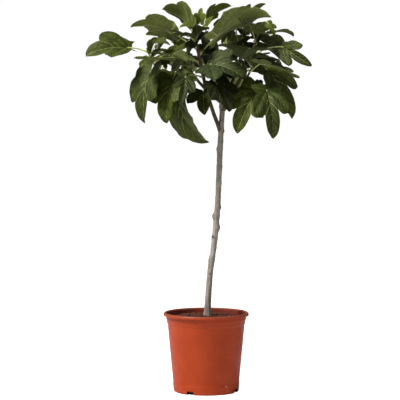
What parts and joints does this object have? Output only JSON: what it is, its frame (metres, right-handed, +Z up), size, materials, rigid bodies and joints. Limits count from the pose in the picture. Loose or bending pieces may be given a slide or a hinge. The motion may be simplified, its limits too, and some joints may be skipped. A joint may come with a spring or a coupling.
{
  "type": "fig tree in a pot",
  "caption": "Young standard fig tree: a clear, slightly crooked stem under a loose round head of large lobed leaves, growing in a round plastic nursery pot filled with compost.",
  "frame": {"origin": "centre of the pot's flat underside, on the ground", "axes": "+Z up the stem; -Y is the front, where the longest reach of the crown lies to the left, along -X"},
  "size_m": [0.6235, 0.4409, 1.091],
  "materials": {
    "pot": "satin",
    "soil": "matte",
    "bark": "matte",
    "foliage": "satin"
  },
  "bodies": {
    "root": {"pot": "pot", "soil": "soil", "trunk": "bark", "bough_middle": "bark", "bough_west": "bark", "bough_north": "bark", "bough_east": "bark", "bough_southeast": "bark", "bough_northwest": "bark", "bough_northeast": "bark", "foliage_middle": "foliage", "foliage_west": "foliage", "foliage_north": "foliage", "foliage_east": "foliage", "foliage_southeast": "foliage", "foliage_northwest": "foliage", "foliage_northeast": "foliage"}
  },
  "joints": []
}
